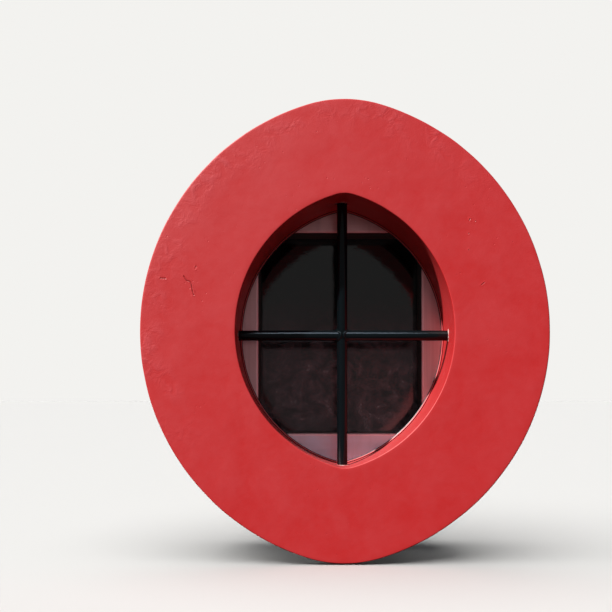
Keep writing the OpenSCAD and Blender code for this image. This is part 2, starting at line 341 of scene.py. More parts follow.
def brushGroup():  # long marks left by a brush or a belt; the length runs along X
    tree, taken, given = newGroup("brushMarks", {"Scale": 60.0, "Stretch": 0.04}, ("Height", "Tone"))
    factors = newNode(tree, "ShaderNodeCombineXYZ", {"X": taken["Stretch"], "Y": 1.0, "Z": 1.0}).outputs[0]
    place = stretched(tree, taken["Vector"], factors)
    hairs = noiseNode(tree, place, taken["Scale"], 5, 0.65, 0.2)
    lap = noiseNode(tree, place, times(tree, taken["Scale"], 0.14), 2, 0.5, 0.8)
    tone = rangeNode(tree, plus(tree, hairs, lap), 0.7, 1.3)
    fillInputs(tree, given, {"Height": plus(tree, hairs, times(tree, lap, 0.8)), "Tone": tone})
    return tree


def dustGroup():  # dust that lies on what faces up, and a thin film elsewhere
    tree, taken, given = newGroup("settledDust", {"Scale": 30.0, "Amount": 0.5, "Film": 0.1}, ("Mask",))
    upward = partsOf(tree, newNode(tree, "ShaderNodeNewGeometry").outputs["Normal"])["Z"]
    lying = times(tree, rangeNode(tree, upward, 0.25, 1.0), taken["Amount"])
    clumps = noiseNode(tree, taken["Vector"], taken["Scale"], 6, 0.7)
    spread = times(tree, plus(tree, lying, taken["Film"]), rangeNode(tree, clumps, 0.3, 0.7))
    fillInputs(tree, given, {"Mask": times(tree, spread, 1.0, True)})
    return tree


def streakGroup():  # rain and dirt runs down the piece
    tree, taken, given = newGroup("rainStreaks", {"Scale": 22.0, "Amount": 0.5}, ("Mask",))
    runs = noiseNode(tree, stretched(tree, taken["Vector"], (1.0, 1.0, 0.07)), taken["Scale"], 5, 0.6, 0.4)
    patches = noiseNode(tree, taken["Vector"], times(tree, taken["Scale"], 0.3), 3)
    both = times(tree, rangeNode(tree, runs, 0.48, 0.72), rangeNode(tree, patches, 0.35, 0.65))
    fillInputs(tree, given, {"Mask": times(tree, both, taken["Amount"], True)})
    return tree


groups = {"trowel": trowelGroup(), "brush": brushGroup(), "dust": dustGroup(), "streaks": streakGroup()}


def placedGroup(tree, name, place, scale, **numbers):
    made = newNode(tree, "ShaderNodeGroup", node_tree=groups[name])
    fillInputs(tree, made, {"Vector": place, "Scale": scale, **numbers})
    return made.outputs


def startMaterial(name):  # the last value is each point's own place, in metres
    material = bpy.data.materials.new(name)
    material.use_nodes = True
    tree = material.node_tree
    return material, tree, tree.nodes["Principled BSDF"], newNode(tree, "ShaderNodeTexCoord").outputs["Object"]


def dress(tree, shader, colour, roughness, height, relief):  # relief is the bumps' depth in millimetres
    bumps = newNode(tree, "ShaderNodeBump", {"Height": height, "Distance": relief * mm, "Strength": 1.0})
    fillInputs(tree, shader, {"Base Color": colour, "Roughness": roughness, "Normal": bumps.outputs["Normal"]})


def storedValue(tree, name, output="Fac"):
    return newNode(tree, "ShaderNodeAttribute", attribute_name=name).outputs[output]


def alongGrain(tree):  # each point's place with the piece's length first
    return storedValue(tree, "grain", "Vector")


# materials

renderPaint = {
    "colour": rgb(0.436, 0.0110, 0.0117),
    "faded": rgb(0.446, 0.0200, 0.0225),
    "chalked": rgb(0.452, 0.0300, 0.0350),
    "dusty": rgb(0.474, 0.126, 0.126),
    "stained": rgb(0.348, 0.0127, 0.0142),
    "scratched": rgb(0.27, 0.010, 0.011),
    "roughness": (0.46, 0.56),
    "waves": 0.55,
    "crumbs": 0.55,  # how high the crumbled paint stands
    "relief": 0.9,
    "bareLight": rgb(0.50, 0.465, 0.42),
    "bareDark": rgb(0.31, 0.285, 0.255),
}


def paintedRender():
    look = renderPaint
    material, tree, shader, place = startMaterial("redRender")
    marks = placedGroup(tree, "trowel", place, 11.0, Waves=look["waves"], Sand=0.12, Pits=0.5)
    streaks = placedGroup(tree, "streaks", place, 16.0, Amount=0.06)
    dust = placedGroup(tree, "dust", place, 95.0, Amount=0.55, Film=0.0)
    paint = mixNode(tree, marks["Tone"], look["colour"], look["faded"])
    paint = mixNode(tree, streaks["Mask"], paint, look["stained"])
    paint = mixNode(tree, dust["Mask"], paint, look["dusty"])
    crumbs = rangeNode(tree, noiseNode(tree, place, 46.0, 4, 0.6, 0.6), 0.42, 0.70)
    crumbled = times(tree, storedValue(tree, "crumbled"), crumbs)
    paint = mixNode(tree, crumbled, paint, look["chalked"])
    paint = mixNode(tree, storedValue(tree, "scar"), paint, look["scratched"])
    rough = placedGroup(tree, "trowel", place, 23.0, Waves=1.0, Sand=1.2, Pits=2.2)
    bare = mixNode(tree, rough["Tone"], look["bareDark"], look["bareLight"])
    ragged = rangeNode(tree, noiseNode(tree, place, 55.0, 5, 0.6), 0.3, 0.7, -0.3, 0.3)
    raw = rangeNode(tree, plus(tree, storedValue(tree, "bareCement"), ragged), 0.45, 0.55)
    satin = rangeNode(tree, marks["Tone"], 0.0, 1.0, *look["roughness"])
    painted = plus(tree, marks["Height"], times(tree, crumbled, look["crumbs"]))
    height = newNode(tree, "ShaderNodeMix", {0: raw, 2: painted, 3: rough["Height"]}).outputs[0]
    roughness = plus(tree, satin, times(tree, raw, 0.4), True)
    dress(tree, shader, mixNode(tree, raw, paint, bare), roughness, height, look["relief"])
    return material


# the gasket colour is painted shade: it turns the groove floor and the strip under the nose into dark shade lines
trimPaint = {
    "worn": rgb(0.52, 0.065, 0.075), "colour": rgb(0.56, 0.12, 0.13), "dusty": rgb(0.56, 0.23, 0.24),
    "gasket": rgb(0.022, 0.006, 0.006), "roughness": (0.30, 0.48), "relief": 0.25,
}


def paintedTrim():
    look = trimPaint
    material, tree, shader, place = startMaterial("redTrim")
    marks = placedGroup(tree, "trowel", place, 40.0, Waves=0.5, Sand=0.2, Pits=0.3)
    dust = placedGroup(tree, "dust", place, 60.0, Amount=0.6, Film=0.05)
    paint = mixNode(tree, marks["Tone"], look["worn"], look["colour"])
    paint = mixNode(tree, dust["Mask"], paint, look["dusty"])
    # painted shade lines: the groove and the gasket strip go near-black
    paint = mixNode(tree, storedValue(tree, "gasket"), paint, look["gasket"])
    roughness = rangeNode(tree, marks["Tone"], 0.0, 1.0, *look["roughness"])
    dress(tree, shader, paint, roughness, marks["Height"], look["relief"])
    return material


blackPaint = {
    "colour": rgb(0.0015, 0.0034, 0.0042), "worn": rgb(0.0022, 0.0042, 0.0052), "dusty": rgb(0.05, 0.05, 0.05),
    "roughness": (0.06, 0.13), "gloss": 0.25, "relief": 0.35,
}


def glossBlack():
    look = blackPaint
    material, tree, shader, place = startMaterial("blackGloss")
    marks = placedGroup(tree, "brush", alongGrain(tree), 240.0, Stretch=0.08)
    lumps = placedGroup(tree, "trowel", place, 70.0, Waves=1.0, Sand=0.05, Pits=0.2)
    dust = placedGroup(tree, "dust", place, 90.0, Amount=0.10, Film=0.0)
    paint = mixNode(tree, marks["Tone"], look["colour"], look["worn"])
    paint = mixNode(tree, dust["Mask"], paint, look["dusty"])
    smooth = rangeNode(tree, lumps["Tone"], 0.0, 1.0, *look["roughness"])
    roughness = plus(tree, smooth, times(tree, dust["Mask"], 0.5), True)
    height = plus(tree, times(tree, marks["Height"], 0.12), times(tree, lumps["Height"], 0.9))
    fillInputs(tree, shader, {"Specular IOR Level": look["gloss"]})
    dress(tree, shader, paint, roughness, height, look["relief"])
    return material


mortarMix = {
    "dark": rgb(0.34, 0.20, 0.18), "light": rgb(0.62, 0.44, 0.42), "smeared": rgb(0.50, 0.045, 0.05),
    "roughness": (0.92, 0.55), "relief": 0.5,
}


def patchedMortar():
    look = mortarMix
    material, tree, shader, place = startMaterial("fillingMortar")
    grain = placedGroup(tree, "trowel", place, 60.0, Waves=1.0, Sand=0.9, Pits=1.2)
    smears = rangeNode(tree, noiseNode(tree, place, 75.0, 4, 0.6, 0.8), 0.46, 0.56)
    colour = mixNode(tree, smears, mixNode(tree, grain["Tone"], look["dark"], look["light"]), look["smeared"])
    roughness = rangeNode(tree, smears, 0.0, 1.0, *look["roughness"])
    dress(tree, shader, colour, roughness, grain["Height"], look["relief"])
    return material


framePaint = {
    "colour": rgb(0.64, 0.41, 0.42), "worn": rgb(0.52, 0.31, 0.31), "dirt": rgb(0.10, 0.06, 0.055),
    "dusty": rgb(0.26, 0.215, 0.20), "roughness": (0.38, 0.62), "relief": 0.16,
    "edge": rgb(0.80, 0.50, 0.52), "edgeWide": 4.6,  # a painted highlight: a lighter rim round the light, where the chamfer catches light
    "film": rgb(0.53, 0.57, 0.69), "filmTop": -0.12, "filmBottom": -0.27,  # a pale bluish film low down, which is painted skylight; heights in metres
    "stop": rgb(0.018, 0.013, 0.012), "stopFrom": 166.5, "stopTo": 246,  # the stop's faces round the light, painted near-black as the shade deep in the recess
}


def lightMask(tree, place, beyond, front, back):  # inside the light's edge, or this far beyond it, between two depths
    parts = partsOf(tree, place)
    behind = mathNode(tree, "GREATER_THAN", parts["Y"], front * mm)
    mask = times(tree, behind, mathNode(tree, "LESS_THAN", parts["Y"], back * mm))
    for axis, middle, size in (("X", frameMiddle[0], lightSize[0]), ("Z", frameMiddle[2], lightSize[1])):
        away = mathNode(tree, "ABSOLUTE", mathNode(tree, "SUBTRACT", parts[axis], middle * mm))
        mask = times(tree, mask, mathNode(tree, "LESS_THAN", away, (size / 2 + beyond) * mm))
    return mask


def brushedTimber():
    look = framePaint
    material, tree, shader, place = startMaterial("framePaint")
    marks = placedGroup(tree, "brush", alongGrain(tree), 210.0, Stretch=0.035)
    grime = placedGroup(tree, "streaks", place, 34.0, Amount=0.22)
    dust = placedGroup(tree, "dust", place, 45.0, Amount=0.65, Film=0.06)
    blotches = rangeNode(tree, noiseNode(tree, place, 26.0, 5, 0.65), 0.3, 0.7, 0.55, 0.95)
    low = rangeNode(tree, partsOf(tree, place)["Z"], look["filmTop"], look["filmBottom"])
    # painted highlight along the chamfer round the light
    rim = lightMask(tree, place, look["edgeWide"], 0, look["stopFrom"])
    # painted shade: the stop's faces round the light go near-black
    stop = lightMask(tree, place, 0.6, look["stopFrom"], look["stopTo"])
    paint = mixNode(tree, marks["Tone"], look["worn"], look["colour"])
    # painted skylight: the frame turns paler and bluer low down, in mottled blotches
    paint = mixNode(tree, times(tree, low, blotches, True), paint, look["film"])
    paint = mixNode(tree, rim, paint, look["edge"])
    paint = mixNode(tree, grime["Mask"], paint, look["dirt"])
    paint = mixNode(tree, stop, paint, look["stop"])
    paint = mixNode(tree, dust["Mask"], paint, look["dusty"])
    roughness = rangeNode(tree, marks["Tone"], 0.0, 1.0, *look["roughness"])
    dress(tree, shader, paint, roughness, marks["Height"], look["relief"])
    return material


paneLook = {
    # the near-black colour is painted shade: it stands in for the dark room behind the pane
    "colour": rgb(0.0022, 0.0026, 0.0026), "film": rgb(0.285, 0.215, 0.222),
    "filmTop": 0.105, "filmMiddle": 0.055, "filmBottom": -0.07,  # heights in metres; the film is dust and also a painted reflection of a mottled garden
    "roughness": (0.02, 0.16), "gloss": (0.50, 0.20), "bending": 1.8, "clear": 0.5, "relief": 0.5,
}


def dustyGlass():
    look = paneLook
    material, tree, shader, place = startMaterial("darkGlass")
    ripples = noiseNode(tree, stretched(tree, place, (1.0, 1.0, 3.2)), 34.0, 5, 0.62, 1.6)
    line = plus(tree, partsOf(tree, place)["Z"], rangeNode(tree, ripples, 0.3, 0.7, -0.022, 0.022))
    upper = times(tree, rangeNode(tree, line, look["filmTop"], look["filmMiddle"]), 0.20)
    lower = times(tree, rangeNode(tree, line, look["filmMiddle"], look["filmBottom"]), 0.80)
    blotches = noiseNode(tree, place, 19.0, 8, 0.76, 1.5)
    specks = noiseNode(tree, place, 150.0, 4, 0.65, 0.8)
    creases = noiseNode(tree, stretched(tree, place, (1.6, 1.0, 0.8)), 52.0, 5, 0.62, 2.4)
    fromCrease = mathNode(tree, "ABSOLUTE", mathNode(tree, "SUBTRACT", creases, 0.5))
    runs = placedGroup(tree, "streaks", place, 75.0, Amount=1.0)
    cloud = plus(tree, rangeNode(tree, blotches, 0.42, 0.62), times(tree, runs["Mask"], 0.45))
    cloud = plus(tree, cloud, rangeNode(tree, specks, 0.55, 0.8, 0.0, 0.35))
    cloud = plus(tree, cloud, rangeNode(tree, fromCrease, 0.07, 0.0, 0.0, 0.30))
    # the film is partly dust and partly painted reflection: its pale mottled colour stands in for a reflected garden
    film = times(tree, times(tree, plus(tree, upper, lower), cloud), 0.55, True)
    film = mathNode(tree, "MAXIMUM", film, times(tree, rangeNode(tree, blotches, 0.46, 0.74), 0.05))
    fillInputs(tree, shader, {
        "Specular IOR Level": rangeNode(tree, film, 0.0, 0.3, *look["gloss"]),
        "IOR": look["bending"], "Transmission Weight": look["clear"],
    })
    roughness = rangeNode(tree, film, 0.0, 0.6, *look["roughness"])
    waves = plus(tree, noiseNode(tree, place, 14.0, 2, 0.5), times(tree, ripples, 0.22))
    dress(tree, shader, mixNode(tree, film, look["colour"], look["film"]), roughness, waves, look["relief"])
    return material


plainLooks = {  # dark colour, light colour, noise scale, stretch, roughness range, bump in mm, metal
    "zincSteel": ((0.52, 0.50, 0.44), (0.70, 0.68, 0.62), 300.0, 0.25, (0.28, 0.46), 0.05, 1.0),
    "pinSteel": ((0.48, 0.46, 0.42), (0.66, 0.64, 0.60), 500.0, 0.3, (0.25, 0.42), 0.03, 1.0),
    "plugNylon": ((0.14, 0.15, 0.16), (0.20, 0.21, 0.22), 160.0, 1.0, (0.42, 0.56), 0.05, 0.0),
    "capPlastic": ((0.50, 0.45, 0.44), (0.60, 0.54, 0.53), 120.0, 1.0, (0.34, 0.48), 0.05, 0.0),
    "packerPlastic": ((0.05, 0.09, 0.15), (0.08, 0.13, 0.20), 140.0, 0.5, (0.40, 0.55), 0.08, 0.0),
    "foamTape": ((0.012, 0.012, 0.013), (0.035, 0.035, 0.037), 900.0, 1.0, (0.86, 0.98), 0.30, 0.0),
    "butylTape": ((0.005, 0.005, 0.005), (0.014, 0.013, 0.013), 200.0, 0.4, (0.50, 0.72), 0.12, 0.0),
    "beechPeg": ((0.42, 0.26, 0.13), (0.60, 0.41, 0.23), 260.0, 0.06, (0.55, 0.72), 0.12, 0.0),
}
plainDust = {"colour": rgb(0.22, 0.19, 0.17), "amount": 0.35, "film": 0.06, "dulling": 0.4}


def plainFinish(name):
    dark, light, scale, stretch, roughness, relief, metal = plainLooks[name]
    material, tree, shader, place = startMaterial(name)
    marks = placedGroup(tree, "brush", place, scale, Stretch=stretch)
    dust = placedGroup(tree, "dust", place, 80.0, Amount=plainDust["amount"], Film=plainDust["film"])
    colour = mixNode(tree, marks["Tone"], rgb(*dark), rgb(*light))
    colour = mixNode(tree, dust["Mask"], colour, plainDust["colour"])
    smooth = rangeNode(tree, marks["Tone"], 0.0, 1.0, *roughness)
    roughness = plus(tree, smooth, times(tree, dust["Mask"], plainDust["dulling"]), True)
    fillInputs(tree, shader, {"Metallic": metal})
    dress(tree, shader, colour, roughness, marks["Height"], relief)
    return material


materials = {
    "redRender": paintedRender(), "redTrim": paintedTrim(), "blackGloss": glossBlack(), "mortar": patchedMortar(),
    "framePaint": brushedTimber(), "darkGlass": dustyGlass(), **{name: plainFinish(name) for name in plainLooks},
}
print("materials made:", len(materials))


# surround: a cast cement band with its reveal and back plate

opening = {"width": 450, "height": 564, "tipRadius": 60, "flare": 6}  # the oval, and how far the reveal opens out
tipHeight = opening["height"] / 2 - opening["tipRadius"]  # how far the tips' centres lie above and below the middle


def sideArc():  # radius of the side arcs, how far their centres lie across the middle, and the angle where they end
    halfWidth, tip = opening["width"] / 2, opening["tipRadius"]
    radius = (halfWidth**2 + tipHeight**2 - tip**2) / (opening["width"] - 2 * tip)
    return radius, radius - halfWidth, math.atan2(tipHeight, radius - halfWidth)


def ovalPoint(turn):  # a point of the opening's edge and its outward direction
    radius, across, join = sideArc()
    nx, nz = math.cos(turn), math.sin(turn)
    if abs(nx) < math.cos(join):
        return (opening["tipRadius"] * nx, math.copysign(tipHeight, nz) + opening["tipRadius"] * nz), (nx, nz)
    return (radius * nx - math.copysign(across, nx), radius * nz), (nx, nz)


def ovalPoints(turns):
    found = [ovalPoint(turn) for turn in turns]
    return np.array([spot for spot, _ in found]), np.array([way for _, way in found])


def ovalRing(count, evenAt):  # points and directions, evenly spaced along the line that lies evenAt outside the edge
    turns = np.linspace(0, 2 * math.pi, 7201)
    base, way = ovalPoints(turns)
    length = lengthAlong(base + way * evenAt)
    return ovalPoints(np.interp(np.arange(count) * length[-1] / count, length, turns))


def outsideBy(x, z):  # how far a point lies outside the opening's edge
    radius, across, join = sideArc()
    x, z = np.abs(x), np.abs(z)
    onTip = (z > tipHeight) & (x * math.sin(join) < (z - tipHeight) * math.cos(join))
    return np.where(onTip, np.hypot(x, z - tipHeight) - opening["tipRadius"], np.hypot(x + across, z) - radius)


surround = {
    "around": 600,
    "band": 198, "thick": 22, "arris": 2.2, "sleeve": 36, "plateFront": 128, "plateBack": 158,
    "plateHalf": (285, 332), "plateCorner": 30, "plateRound": 2, "cove": 5,
    "faceWaves": 0.5, "revealWaves": 0.5, "bareWaves": 0.7,
    "arrisWaves": 0.55, "edgeWide": 9,  # the edges are a little more uneven, this far from their corners
    "crumble": (95, 190),  # the paint is rougher from here out to the edge, at the upper left
    "outOfRound": ((1, 1.5, -1.7), (3, 0.4, 3.6), (5, 0.4, 0.9)),  # bulges round the edge: count, depth, place
}


def revealOut(depth):  # how far the reveal lies outside the opening's front edge
    start = surround["arris"] - surround["thick"]
    end = (surround["plateFront"] + surround["plateBack"]) / 2
    return opening["flare"] * np.clip((depth - start) / (end - start), 0, 1)


def plateEdge(base, way, inset):  # where lines out from the oval meet the back plate's rounded rectangle
    half = np.array(surround["plateHalf"]) - inset
    corner = surround["plateCorner"] - inset
    low, high = np.zeros(len(base)), np.full(len(base), 900.0)
    for _ in range(30):  # halves the search each time
        middle = (low + high) / 2
        spot = np.abs(base + way * middle[:, None])
        over = np.maximum(spot - (half - corner), 0)
        inside = (spot <= half).all(axis=1) & (np.linalg.norm(over, axis=1) <= corner)
        low, high = np.where(inside, middle, low), np.where(inside, high, middle)
    return base + way * low[:, None]


def surroundRows():  # (kind, out from the opening's edge, depth, share of the way to the plate's edge)
    look = surround
    arris, band, front = look["arris"], look["band"], -look["thick"]
    back, plate, lip = look["plateBack"], look["plateFront"], look["plateRound"]
    sleeve, cove = look["sleeve"], look["cove"]
    quarter = [(math.sin(t), math.cos(t)) for t in np.radians(np.linspace(0, 90, 7))]
    rows = [("reveal", revealOut(depth), depth, 0) for depth in np.linspace(back, front + arris, 38)]
    rows += [("arris", arris - arris * c, front + arris - arris * s, 0) for s, c in quarter[1:]]
    rows += [("face", out, front, 0) for out in np.linspace(arris, band - arris, 48)[1:]]
    rows += [("arris", band - arris + arris * s, front + arris - arris * c, 0) for s, c in quarter[1:]]
    rows += [("side", band, depth, 0) for depth in np.linspace(front + arris, -1, 5)[1:]]
    rows += [("bare", band - 1, 0, 0)]
    rows += [("bare", out, 0, 0) for out in np.linspace(band - 1, sleeve + cove, 15)[1:]]
    rows += [("bare", sleeve + cove - cove * s, cove - cove * c, 0) for s, c in quarter[2::2]]
    rows += [("bare", sleeve, depth, 0) for depth in np.linspace(cove, plate - cove, 9)[1:]]
    rows += [("bare", sleeve + cove - cove * c, plate - cove + cove * s, 0) for s, c in quarter[2::2]]
    rows += [("plate", sleeve + cove, plate, share) for share in np.linspace(0, 1, 8)[1:]]
    rows += [("rim", lip - lip * s, plate + lip - lip * c, 1) for s, c in quarter[3::3]]
    rows += [("rim", 0, depth, 1) for depth in np.linspace(plate + lip, back - lip, 4)[1:]]
    rows += [("rim", lip - lip * c, back - lip + lip * s, 1) for s, c in quarter[3::3]]
    rows += [("plate", opening["flare"], back, share) for share in np.linspace(1, 0, 9)[1:-1]]
    return rows


def pullIn(turns):  # how far the band's outer edge falls short of a true curve, from 0 up
    return sum(depth * (1 + np.cos(count * turns - place)) / 2 for count, depth, place in surround["outOfRound"])


def surroundMesh():
    look = surround
    count, arris, band = look["around"], look["arris"], look["band"]
    start = arris - look["thick"]
    base, way = ovalRing(count, 90)
    pull = pullIn(np.arctan2(way[:, 1], way[:, 0]))
    points = []
    for kind, out, depth, share in surroundRows():
        flat = plateEdge(base, way, out) if kind == "rim" else base + way * out
        if kind == "plate":
            flat = flat + (plateEdge(base, way, look["plateRound"]) - flat) * share
        seen = np.column_stack([flat[:, 0], np.full(count, depth), flat[:, 1]])
        inward = 0
        if kind in ("reveal", "arris", "face", "side"):
            wave = np.clip(waves(seen, 75, 1) + 0.22 * bumpy(seen, 26, 2), 0, 1.4)
            edge = waves(seen, 38, 3)
            onFace = min(out - arris, band - arris - out)
            fromEdge = {"reveal": depth - start, "side": depth - start, "arris": 0, "face": onFace}[kind]
            near = 1 - smoothStep(0, look["edgeWide"], fromEdge)
            level = 1 if kind == "face" else near
            upright = near if kind == "face" else 1
            seen[:, 1] += (wave * look["faceWaves"] + edge * near * look["arrisWaves"] * 0.5) * level
            push = (wave * look["revealWaves"] + edge * near * look["arrisWaves"] * 0.6) * upright
            push = push * smoothStep(look["plateBack"], look["plateBack"] - 12, depth)
            inward = push if out > band / 2 else -push
        elif kind == "bare":
            wave = np.clip(waves(seen, 40, 4) + 0.2 * bumpy(seen, 12, 5), 0, 1.3) * look["bareWaves"]
            inward = wave if depth > 0.5 else 0
            seen[:, 1] -= 0 if depth > 0.5 else wave * 0.6
        if depth <= 0.01 and out > 20:  # the outer edge isn't quite true
            inward = inward + pull * (out - 20) / (band - 20)
        seen[:, 0] -= way[:, 0] * inward
        seen[:, 2] -= way[:, 1] * inward
        points.append(seen)
    return newMesh("surroundShell", np.vstack(points), gridFaces(len(points), count, closeRows=True))


grille = {
    "upright": -2, "cross": -4, "depth": 83, "radius": 11.5,  # axes of the bars and their size
    "socket": 15.5, "socketDepth": 24, "barEnd": 22,
}
crossing = (grille["upright"], grille["depth"], grille["cross"])
holes = {"stud": 9, "studDeep": 16, "plug": 5.05, "plugDeep": 26}  # radii and depths
studPlaces = [(x, z) for x in (-328.8, 328.8) for z in (-228.38, 228.38)]
jambScrews = [(side * 236, end * 180) for side in (-1, 1) for end in (-1, 1)]
railScrews = [(side * 120, end * 279) for side in (-1, 1) for end in (-1, 1)]
screwPlaces = [(frameMiddle[0] + x, frameMiddle[2] + z) for x, z in jambScrews + railScrews]


def barEnds():  # the four places where a bar enters the reveal, and the way into the cement
    out = revealOut(grille["depth"])
    across, up = opening["width"] / 2 + out, opening["height"] / 2 + out
    return [
        ((-across, grille["depth"], grille["cross"]), (-1, 0, 0)),
        ((across, grille["depth"], grille["cross"]), (1, 0, 0)),
        ((grille["upright"], grille["depth"], -up), (0, 0, -1)),
        ((grille["upright"], grille["depth"], up), (0, 0, 1)),
    ]


def surroundCutters():  # for the bars' ends, the stud sockets and the screws' plugs
    parts = []
    for place, way in barEnds():
        place, way = Vector(place), Vector(way)
        parts.append(rodPoints(place - way * 8, place + way * grille["socketDepth"], grille["socket"], 40))
    back = surround["plateBack"]
    for x, z in studPlaces:
        parts.append(rodPoints((x, -holes["studDeep"], z), (x, 3, z), holes["stud"], 40))
    for x, z in screwPlaces:
        parts.append(rodPoints((x, back - holes["plugDeep"], z), (x, back + 4, z), holes["plug"], 32))
    return newMesh("sockets", *joinedParts(parts))


scars = {  # marks in the face: middle lines across and up, width and depth in millimetres
    "lines": (
        (((-331, 111), (-325, 101.5), (-318.5, 100), (-315.5, 95), (-313.5, 84), (-310.5, 72.5)), 1.5, 0.95),
        (((-379, 106.8), (-369, 106.4)), 1.8, 0.8),
        (((256.5, 226), (258, 229.5)), 1.2, 0.7),
        (((268, 224), (269, 225)), 1.0, 0.6),
        (((281, 93), (287, 98)), 1.3, 0.35),
        (((254, 198), (255, 200)), 1.0, 0.5),
        (((254.5, 164), (255.5, 166.5)), 1.0, 0.4),
        (((-308, 126), (-306, 131)), 1.6, 0.3),
        (((-215, 418), (-197, 393)), 3.4, -0.16),
        (((-233, 348), (-211, 324)), 3.2, -0.14),
        (((-43, 445), (-35, 434)), 2.8, -0.14),
    ),
    "reach": 6, "lip": 0.32, "frontOf": -15,  # only what lies in front of this depth is marked
}


def distanceTo(line, x, z):  # from each point to a line of straight pieces
    nearest = np.full(len(x), 1e9)
    for (x0, z0), (x1, z1) in zip(line, line[1:]):
        share = np.clip(((x - x0) * (x1 - x0) + (z - z0) * (z1 - z0)) / ((x1 - x0) ** 2 + (z1 - z0) ** 2), 0, 1)
        nearest = np.minimum(nearest, np.hypot(x - x0 - share * (x1 - x0), z - z0 - share * (z1 - z0)))
    return nearest


def carveScars(mesh):  # divides the face finely round each mark and presses the mark in
    cut = bmesh.new()
    cut.from_mesh(mesh)
    for cuts in (2, 1):
        places = np.array([v.co for v in cut.verts]) / mm
        near = np.zeros(len(places), bool)
        for line, *_ in scars["lines"]:
            near |= distanceTo(line, places[:, 0], places[:, 2]) < scars["reach"]
        near &= places[:, 1] < scars["frontOf"]
        edges = [e for e in cut.edges if near[e.verts[0].index] and near[e.verts[1].index]]
        bmesh.ops.subdivide_edges(cut, edges=edges, cuts=cuts, use_grid_fill=True)
        cut.verts.index_update()
    cut.to_mesh(mesh)
    cut.free()
    places = pointsOf(mesh)
    pressed, marked = np.zeros(len(places)), np.zeros(len(places))
    front = places[:, 1] < scars["frontOf"]
    for line, wide, deep in scars["lines"]:
        rough = wide * (1.1 + 0.6 * bumpy(places, 4, 31) + 0.25 * bumpy(places, 1.6, 32))
        away = distanceTo(line, places[:, 0], places[:, 2]) / rough
        deep = deep * np.clip(0.85 + 0.7 * bumpy(places, 6, 33), 0.3, 1.2)
        pressed += front * deep * np.where(away < 1, (1 + np.cos(np.pi * np.clip(away, 0, 1))) / 2, 0)
        pressed -= front * scars["lip"] * (deep > 0) * np.exp(-((away - 1.5) / 0.4) ** 2)
        marked = np.maximum(marked, front * (deep > 0.25) * (1 - smoothStep(0.3, 1.0, away)))
    lowest = boxOf("surround")[0][1] + 0.02
    places[:, 1] = np.where(np.abs(pressed) > 0.001, np.maximum(places[:, 1] + pressed, lowest), places[:, 1])
    mesh.vertices.foreach_set("co", np.ascontiguousarray(places * mm, np.float32).ravel())
    storeValue(mesh, "scar", marked)


def addSurround():
    mesh = finishedMesh(surroundMesh(), [surroundCutters()])
    carveScars(mesh)
    places = pointsOf(mesh)
    out = outsideBy(places[:, 0], places[:, 2]) - revealOut(places[:, 1])
    storeValue(mesh, "bareCement", smoothStep(-4, 1, places[:, 1]) * smoothStep(1.5, 6, out))
    upperLeft = smoothStep(-60, 120, (places[:, 2] - places[:, 0]) * math.sqrt(0.5))
    patches = smoothStep(-0.5, 0.3, bumpy(places, 55, 6))
    storeValue(mesh, "crumbled", smoothStep(*surround["crumble"], out) * upperLeft * patches)
    addPiece("surroundShell", mesh, materials["redRender"], ["surround"], 50)


addSurround()


# studio: a pale floor, a key light from the upper left, soft fills from the front and from behind

studio = {
    "floor": rgb(0.64, 0.635, 0.625), "backdrop": (0.895, 0.888, 0.865),
    "sheen": ((0.07, 0.06, 0.06), (0.142, 0.142, 0.140), (0.35, 0.42, 0.50)),  # for gloss: below, level, above
    "garden": ((0.045, 0.034, 0.035), (0.30, 0.235, 0.245)),  # the mottled part of what gloss reflects
    "hedgeTop": 0.115,  # how high that rises
    "ambient": ((0.02, 0.02, 0.02), (0.07, 0.07, 0.07), (0.16, 0.175, 0.20)),  # soft light: below, level, above
    "level": (0.5, 0.62),  # where the level colour lies, from straight down at 0 to straight up at 1
    "lights": {  # way, strength, angle, colour, shows in gloss, and whose pieces it lights or leaves out
        "keyLight": ((0.578, 0.470, -0.668), 7.45, 2.0, (1.0, 0.985, 0.96), True, "EXCLUDE", "shaded"),
        "frontFill": ((0.0, 0.87, -0.50), 0.36, 50.0, (0.86, 0.95, 1.10), False, "EXCLUDE", "floor"),
        "barGlint": ((0.0, 0.56, -0.83), 0.85, 24.0, (0.78, 0.93, 1.12), True, "INCLUDE", "bars"),
        "bounceFill": ((-0.10, 0.99, 0.08), 0.78, 24.0, (0.98, 0.86, 0.87), False, "INCLUDE", "frame"),
        "backFill": ((-0.42, -0.74, -0.52), 1.7, 35.0, (1.0, 0.99, 0.97), False, "EXCLUDE", "floor"),
        "floorLight": ((0.18, 0.20, -0.96), 4.25, 75.0, (1.0, 0.99, 0.97), False, "INCLUDE", "floor"),
    },
    "pieces": {  # words in the names of the pieces meant above
        "shaded": ("frame", "bead", "glass", "Tape", "floor"), "bars": ("bar", "crossWeld"),
        "frame": ("frame", "bead"), "floor": ("floor",),
    },
}


def skyRamp(tree, rise, colours):
    ramp = newNode(tree, "ShaderNodeValToRGB", {"Fac": rangeNode(tree, rise, -1.0, 1.0)})
    ramp.color_ramp.elements[0].color = (*colours[0], 1)
    ramp.color_ramp.elements[1].color = (*colours[2], 1)
    for position in studio["level"]:
        ramp.color_ramp.elements.new(position).color = (*colours[1], 1)
    return ramp.outputs["Color"]


def mottledSheen(tree, way, rise):  # soft ground and sky with a ragged mottled band, for the glass to reflect
    top = studio["hedgeTop"]
    leaves = rangeNode(tree, noiseNode(tree, way, 38.0, 7, 0.72, 1.3), 0.34, 0.68)
    ragged = rangeNode(tree, noiseNode(tree, way, 20.0, 4, 0.6, 0.8), 0.3, 0.7, -0.025, 0.025)
    band = rangeNode(tree, plus(tree, rise, ragged), top, top - 0.05)
    band = times(tree, band, rangeNode(tree, rise, -0.5, -0.3))
    mottle = mixNode(tree, leaves, *[rgb(*colour) for colour in studio["garden"]])
    return mixNode(tree, band, skyRamp(tree, rise, studio["sheen"]), mottle)


